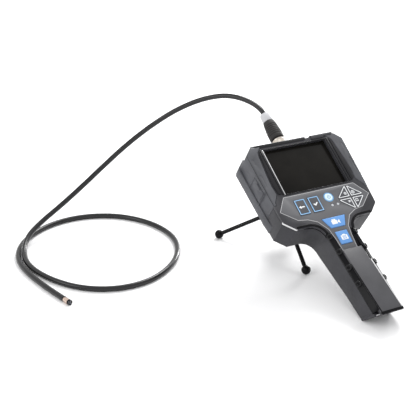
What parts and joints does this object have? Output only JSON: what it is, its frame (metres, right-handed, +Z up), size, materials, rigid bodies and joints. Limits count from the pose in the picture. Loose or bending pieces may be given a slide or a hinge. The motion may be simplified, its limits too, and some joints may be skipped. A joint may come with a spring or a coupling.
{
  "type": "inspection camera",
  "caption": "Pistol-grip inspection camera with a screen and keypad, a flexible probe cable ending in a camera head, and a folding ball-head mini tripod.",
  "frame": {"origin": "on the floor, under the middle of the box round the handset and its tripod (the probe cable left out)", "axes": "+Z up, +X to the handset's right, +Y away from the handle's end towards the probe socket"},
  "size_m": [0.3325, 0.35, 0.147],
  "materials": {
    "shell": "charcoal, fine moulded texture",
    "shell_cover": "charcoal satin",
    "guard": "slate grey overmould",
    "soft_black": "black, slightly glossy",
    "steel": "plain",
    "glass": "gloss",
    "screen": "dark panel",
    "overlay": "warm grey printed film",
    "led": "clear lens",
    "board": "solder mask",
    "switch": "plain",
    "battery": "shrink sleeve",
    "nickel": "satin nickel plate",
    "relief": "matte ribbed",
    "label": "white sleeve",
    "cable": "satin black jacket",
    "brass": "turned",
    "stand": "gloss black",
    "key_grey": "dark grey",
    "key_blue": "blue",
    "key_white": "white"
  },
  "bodies": {
    "handset": {"front_shell": "shell", "rear_shell": "shell", "shell_gasket": "soft_black", "case_screws": "steel", "left_guard": "guard", "right_guard": "guard", "handle_end_cap": "shell", "strap_pin": "steel", "left_grip_strip": "soft_black", "right_grip_strip": "soft_black", "screen_window": "glass", "lcd_module": "screen", "keypad_overlay": "overlay", "status_leds": "led", "main_board": "board", "key_switches": "switch", "battery_cell": "battery", "battery_contacts": "steel", "usb_socket": "switch", "card_socket": "switch", "probe_socket": "nickel", "socket_nut": "steel", "probe_plug": "nickel", "strain_relief": "relief", "cable_label": "label", "tripod_insert": "brass", "probe_cable": "cable", "camera_head": "nickel", "camera_lens": "glass", "tip_leds": "led"},
    "battery_cover": {"battery_cover": "shell_cover"},
    "port_flap": {"port_flap": "guard"},
    "coupling_ring": {"coupling_ring": "nickel"},
    "ball_head": {"tripod_screw": "steel", "tripod_platform": "stand", "tripod_pad": "soft_black"},
    "stand_collar": {"tripod_collar": "stand"},
    "stand_hub": {"tripod_hub": "stand", "leg_pins": "steel"},
    "key_esc": {"key_esc": "key_grey"},
    "key_ok": {"key_ok": "key_grey"},
    "key_upper_left": {"key_upper_left": "key_grey"},
    "key_upper_right": {"key_upper_right": "key_grey"},
    "key_lower_left": {"key_lower_left": "key_grey"},
    "key_lower_right": {"key_lower_right": "key_grey"},
    "key_record": {"key_record": "key_blue"},
    "key_photo": {"key_photo": "key_blue"},
    "key_power": {"key_power": "key_white"},
    "leg_1": {"leg_1": "stand", "foot_1": "soft_black"},
    "leg_2": {"leg_2": "stand", "foot_2": "soft_black"},
    "leg_3": {"leg_3": "stand", "foot_3": "soft_black"}
  },
  "joints": [
    {"name": "press_esc", "type": "slide", "parent": "handset", "child": "key_esc", "axis": [0, 0.5467, -0.8373], "range_m": [0, 0.0005], "stiffness_N_per_m": 600, "springref_m": -0.001},
    {"name": "press_ok", "type": "slide", "parent": "handset", "child": "key_ok", "axis": [0, 0.5467, -0.8373], "range_m": [0, 0.0005], "stiffness_N_per_m": 600, "springref_m": -0.001},
    {"name": "press_upper_left", "type": "slide", "parent": "handset", "child": "key_upper_left", "axis": [0, 0.5467, -0.8373], "range_m": [0, 0.0005], "stiffness_N_per_m": 600, "springref_m": -0.001},
    {"name": "press_upper_right", "type": "slide", "parent": "handset", "child": "key_upper_right", "axis": [0, 0.5467, -0.8373], "range_m": [0, 0.0005], "stiffness_N_per_m": 600, "springref_m": -0.001},
    {"name": "press_lower_left", "type": "slide", "parent": "handset", "child": "key_lower_left", "axis": [0, 0.5467, -0.8373], "range_m": [0, 0.0005], "stiffness_N_per_m": 600, "springref_m": -0.001},
    {"name": "press_lower_right", "type": "slide", "parent": "handset", "child": "key_lower_right", "axis": [0, 0.5467, -0.8373], "range_m": [0, 0.0005], "stiffness_N_per_m": 600, "springref_m": -0.001},
    {"name": "press_record", "type": "slide", "parent": "handset", "child": "key_record", "axis": [0, 0.5467, -0.8373], "range_m": [0, 0.0005], "stiffness_N_per_m": 600, "springref_m": -0.001},
    {"name": "press_photo", "type": "slide", "parent": "handset", "child": "key_photo", "axis": [0, 0.5467, -0.8373], "range_m": [0, 0.0005], "stiffness_N_per_m": 600, "springref_m": -0.001},
    {"name": "press_power", "type": "slide", "parent": "handset", "child": "key_power", "axis": [0, 0.5467, -0.8373], "range_m": [0, 0.0005], "stiffness_N_per_m": 600, "springref_m": -0.001},
    {"name": "battery_cover_slide", "type": "slide", "parent": "handset", "child": "battery_cover", "axis": [0, -0.9003, -0.4352], "range_m": [0, 0.012]},
    {"name": "port_flap_hinge", "type": "hinge", "parent": "handset", "child": "port_flap", "pos_m": [-0.06013, 0.03802, 0.0819], "axis": [0, -0.8373, -0.5467], "range_deg": [0, 110]},
    {"name": "coupling_ring_turn", "type": "hinge", "parent": "handset", "child": "coupling_ring", "pos_m": [-0.0088, 0.07656, 0.11196], "axis": [0, 0.8373, 0.5467], "continuous": true},
    {"name": "stand_screw_turn", "type": "hinge", "parent": "handset", "child": "ball_head", "pos_m": [-0.0063, 0.07106, 0.06239], "axis": [0, -0.5467, 0.8373], "continuous": true},
    {"name": "ball_tilt", "type": "hinge", "parent": "ball_head", "child": "stand_collar", "pos_m": [-0.0063, 0.07106, 0.06239], "axis": [1, 0, 0], "range_deg": [-4, 70]},
    {"name": "ball_pan", "type": "hinge", "parent": "stand_collar", "child": "stand_hub", "pos_m": [-0.0063, 0.07106, 0.06239], "axis": [0, 0, 1], "continuous": true},
    {"name": "leg_1_fold", "type": "hinge", "parent": "stand_hub", "child": "leg_1", "pos_m": [-0.01392, 0.07754, 0.037], "axis": [-0.6481, -0.7615, 0], "range_deg": [0, 60]},
    {"name": "leg_2_fold", "type": "hinge", "parent": "stand_hub", "child": "leg_2", "pos_m": [-0.0081, 0.06123, 0.037], "axis": [0.9836, -0.1805, 0], "range_deg": [0, 60]},
    {"name": "leg_3_fold", "type": "hinge", "parent": "stand_hub", "child": "leg_3", "pos_m": [0.00312, 0.07442, 0.037], "axis": [-0.3355, 0.9421, 0], "range_deg": [0, 60]}
  ]
}
